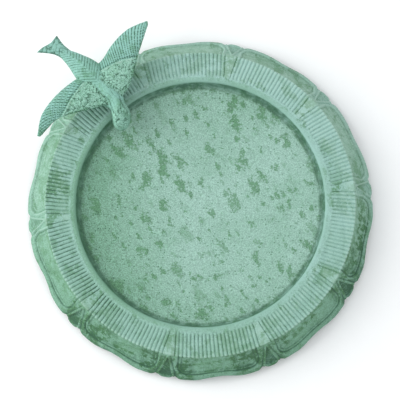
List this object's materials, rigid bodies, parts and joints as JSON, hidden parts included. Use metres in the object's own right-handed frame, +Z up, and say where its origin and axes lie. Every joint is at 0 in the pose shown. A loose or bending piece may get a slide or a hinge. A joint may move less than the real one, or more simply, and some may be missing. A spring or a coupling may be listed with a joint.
{
  "type": "bird bath",
  "caption": "Shallow round bird bath dish with a reeded rim, a scalloped skirt and a perched swallow, on short bolted feet.",
  "frame": {"origin": "on the ground, below the middle of the whole object's outline; the dish's own axis stands 2.5 mm towards -Y from it", "axes": "+Z up; +Y towards the side of the rim where the swallow sits, which is at the -X, +Y quarter; +X to the right of it"},
  "size_m": [0.3044, 0.309, 0.0575],
  "materials": {
    "verdigris_bowl": "matt verdigris paint over cast iron, darker green dabbed over pale blue-green",
    "verdigris_bird": "matt verdigris paint over cast iron, darker in the recesses",
    "verdigris_foot": "matt dark green paint over cast iron",
    "zinc_steel": "zinc plated steel"
  },
  "bodies": {
    "root": {"bowl": "verdigris_bowl", "bird": "verdigris_bird", "bird_stud": "zinc_steel", "bird_washer": "zinc_steel", "bird_nut": "zinc_steel", "foot_1": "verdigris_foot", "foot_2": "verdigris_foot", "foot_3": "verdigris_foot", "foot_screw_1": "zinc_steel", "foot_screw_2": "zinc_steel", "foot_screw_3": "zinc_steel"}
  },
  "joints": []
}
